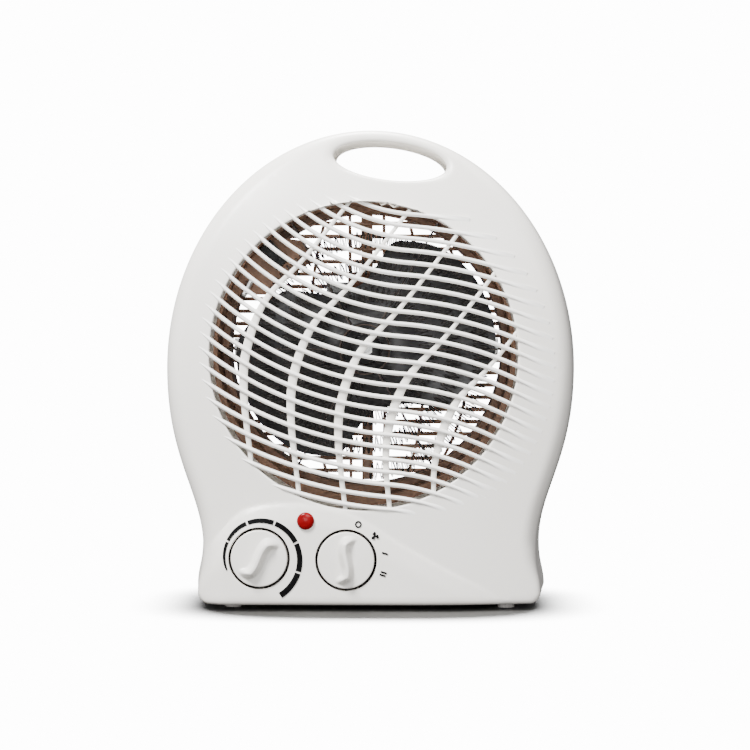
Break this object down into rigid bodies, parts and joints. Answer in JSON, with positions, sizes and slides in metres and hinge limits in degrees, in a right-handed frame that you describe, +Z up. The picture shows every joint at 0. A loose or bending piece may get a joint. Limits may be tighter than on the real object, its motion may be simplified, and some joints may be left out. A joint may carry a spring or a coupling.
{
  "type": "fan heater",
  "caption": "Upright domestic fan heater: rounded plastic casing with a handle slot, swept-bar round grille, two front knobs and a small lens.",
  "frame": {"origin": "centre of the footprint, on the surface the feet stand on", "axes": "+Z up, the front grille and knobs face -Y, +X is to the right seen from the front"},
  "size_m": [0.2266, 0.128, 0.26],
  "materials": {
    "casing": "fine satin moulded plastic, warm off-white",
    "feet": "matt moulded rubber",
    "steel": "zinc-plated",
    "mica": "layered brown mica board",
    "nichrome": "oxidised resistance wire",
    "black_plastic": "black moulded plastic and wire sleeve",
    "fan_metal": "dark pressed metal with a soft gloss",
    "lamination": "stacked steel laminations",
    "winding": "enamelled copper wire",
    "phenolic": "dark phenolic moulding",
    "lens_red": "clear red moulded plastic",
    "lamp_glass": "small glass envelope",
    "terminal": "pale moulded nylon"
  },
  "bodies": {
    "casing": {"front_shell": "casing", "rear_shell": "casing", "cord_gland": "casing", "foot_front_left": "feet", "foot_front_right": "feet", "foot_rear_left": "feet", "foot_rear_right": "feet", "case_screw_1": "steel", "case_screw_2": "steel", "case_screw_3": "steel", "case_screw_4": "steel", "bearing_plate_front": "steel", "bearing_plate_rear": "steel", "motor_bracket": "steel", "motor_bolt_left": "steel", "motor_bolt_right": "steel", "thermal_fuse": "steel", "mica_ring": "mica", "mica_core": "mica", "mica_board_1": "mica", "mica_board_2": "mica", "mica_board_3": "mica", "mica_board_4": "mica", "mica_board_5": "mica", "mica_board_6": "mica", "heating_wire_front": "nichrome", "heating_wire_rear": "nichrome", "thermal_cutout": "black_plastic", "lead_supply": "black_plastic", "lead_switch": "black_plastic", "lead_thermostat": "black_plastic", "stator": "lamination", "motor_winding": "winding", "thermostat_body": "phenolic", "selector_switch": "phenolic", "fan_shroud": "phenolic", "indicator_lens": "lens_red", "neon_lamp": "lamp_glass", "terminal_block": "terminal"},
    "fan_rotor": {"fan": "fan_metal", "fan_nut": "steel", "motor_shaft": "steel", "rotor": "lamination"},
    "thermostat": {"thermostat_knob": "casing", "thermostat_spindle": "steel"},
    "selector": {"selector_knob": "casing", "selector_spindle": "steel"}
  },
  "joints": [
    {"name": "fan_spin", "type": "hinge", "parent": "casing", "child": "fan_rotor", "pos_m": [-0.003, 0.019, 0.1385], "axis": [0, 1, 0], "continuous": true},
    {"name": "thermostat_turn", "type": "hinge", "parent": "casing", "child": "thermostat", "pos_m": [-0.0581, -0.05, 0.0281], "axis": [0, -1, 0], "range_deg": [-99, 161]},
    {"name": "selector_turn", "type": "hinge", "parent": "casing", "child": "selector", "pos_m": [-0.012, -0.05, 0.0272], "axis": [0, -1, 0], "range_deg": [-90, 0]}
  ]
}
